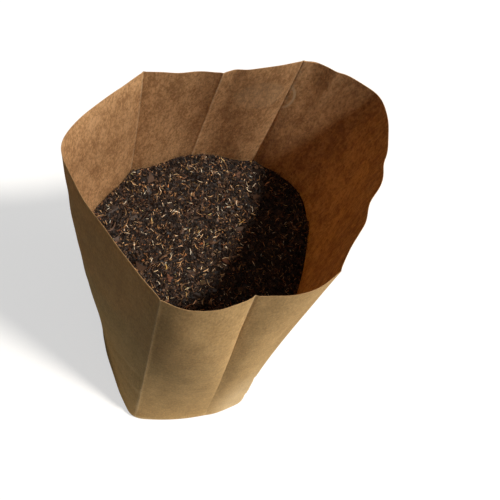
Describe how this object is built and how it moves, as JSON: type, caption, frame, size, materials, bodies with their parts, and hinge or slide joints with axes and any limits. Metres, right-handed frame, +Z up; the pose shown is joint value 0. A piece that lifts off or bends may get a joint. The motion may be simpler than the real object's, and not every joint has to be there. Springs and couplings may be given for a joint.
{
  "type": "open kraft paper sack of organic fertilizer",
  "caption": "Open brown kraft paper sack with folded gusset sides, standing upright and filled to about two thirds with loose dark organic fertilizer.",
  "frame": {"origin": "centre of the sack's width and depth, on the floor under its flat bottom", "axes": "+Z up out of the open mouth, +X across the narrow gusset sides, +Y from the near gusset side to the far one"},
  "size_m": [0.229, 0.2166, 0.42],
  "materials": {
    "kraft_paper": "matte brown kraft paper with fine fibres and soft creases",
    "fertilizer_bed": "loose matte dark brown organic crumbs"
  },
  "bodies": {
    "root": {"paper_bag": "kraft_paper", "fertilizer": "fertilizer_bed"}
  },
  "joints": []
}
